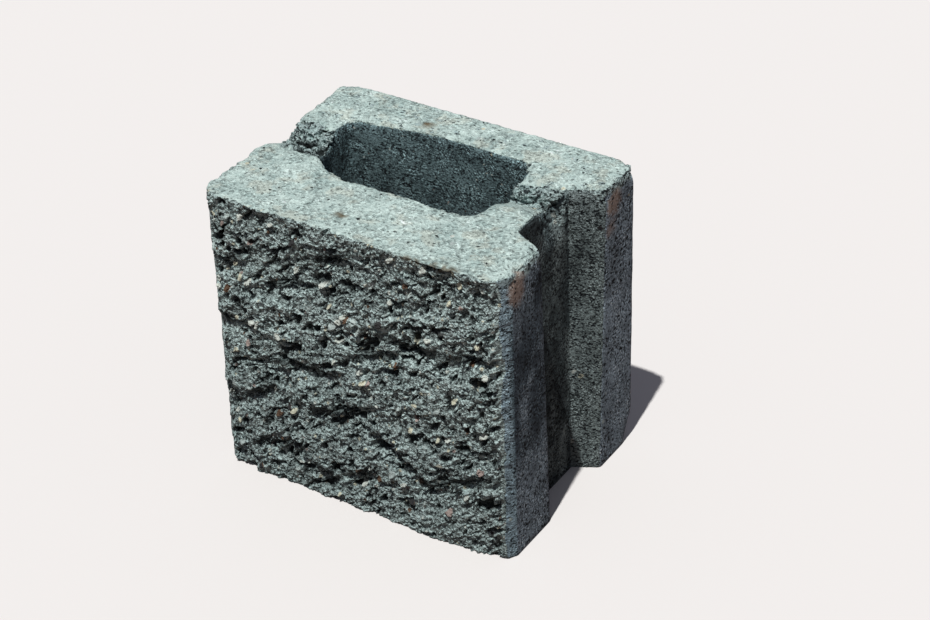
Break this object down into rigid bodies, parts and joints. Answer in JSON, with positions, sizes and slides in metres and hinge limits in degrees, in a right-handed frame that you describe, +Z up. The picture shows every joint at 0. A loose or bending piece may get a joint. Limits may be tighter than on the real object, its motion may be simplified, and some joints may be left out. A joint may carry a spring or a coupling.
{
  "type": "split-face hollow concrete block",
  "caption": "Hollow pressed-concrete half block with one rough split face, a tapered core through both beds and a drafted groove in one end.",
  "frame": {"origin": "centre of the block's plan on its lower bed", "axes": "+X along the wall towards the grooved end, +Y from the split face to the rear face, +Z up"},
  "size_m": [0.19, 0.14, 0.18],
  "materials": {
    "concrete": "rough grey pressed concrete"
  },
  "bodies": {
    "root": {"split_face_block": "concrete"}
  },
  "joints": []
}
